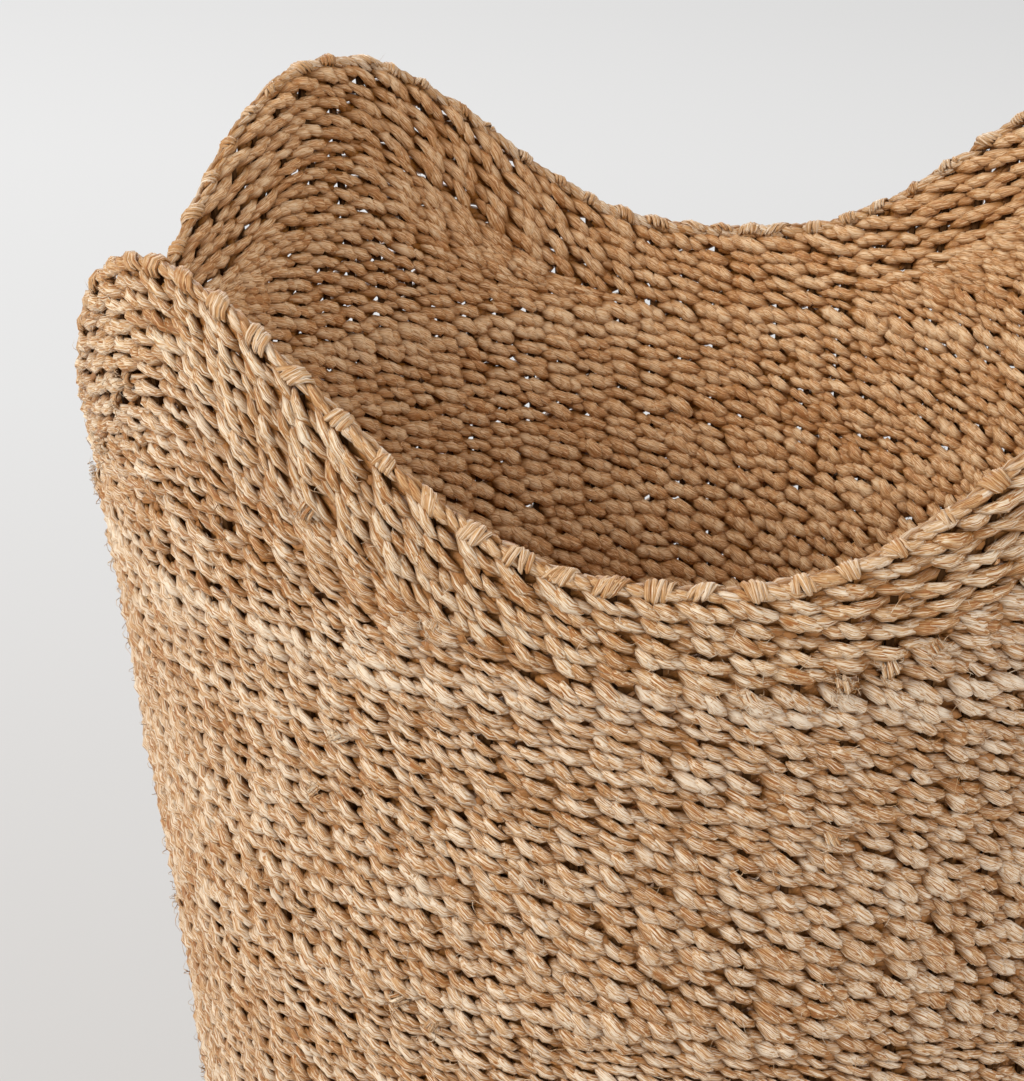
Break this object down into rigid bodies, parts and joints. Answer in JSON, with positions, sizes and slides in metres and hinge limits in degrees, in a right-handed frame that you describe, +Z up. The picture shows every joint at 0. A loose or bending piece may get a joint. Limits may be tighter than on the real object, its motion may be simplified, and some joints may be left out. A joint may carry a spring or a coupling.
{
  "type": "scalloped basket",
  "caption": "Round twined fibre basket, open at the top, whose wall flares up to a rim that rises and falls in scallops.",
  "frame": {"origin": "on the floor, under the middle of the base", "axes": "+Z up along the basket's axis; the rim's low points face +X, -X, +Y and -Y and its scallops lie between them"},
  "size_m": [0.4064, 0.4066, 0.3942],
  "materials": {
    "weft_fibre": "dry twisted plant fibre with a soft sheen",
    "scallop_fibre": "paler twisted plant fibre with a soft sheen",
    "stake_fibre": "plain split cane, matt",
    "foot_fibre": "dry twisted plant fibre, matt",
    "rim_fibre": "wrapped plant fibre, slightly worn"
  },
  "bodies": {
    "root": {"base_weave": "weft_fibre", "foot_course": "foot_fibre", "wall_weave": "weft_fibre", "peak_weave_1": "weft_fibre", "peak_weave_2": "weft_fibre", "peak_weave_3": "weft_fibre", "peak_weave_4": "weft_fibre", "scallop_course_5": "scallop_fibre", "scallop_course_4": "scallop_fibre", "scallop_course_3": "scallop_fibre", "scallop_course_2": "scallop_fibre", "scallop_course_1": "scallop_fibre", "rim_cord": "rim_fibre", "stake_bundle_1": "stake_fibre", "stake_bundle_2": "stake_fibre", "stake_bundle_3": "stake_fibre", "stake_bundle_4": "stake_fibre", "stake_bundle_5": "stake_fibre"}
  },
  "joints": []
}
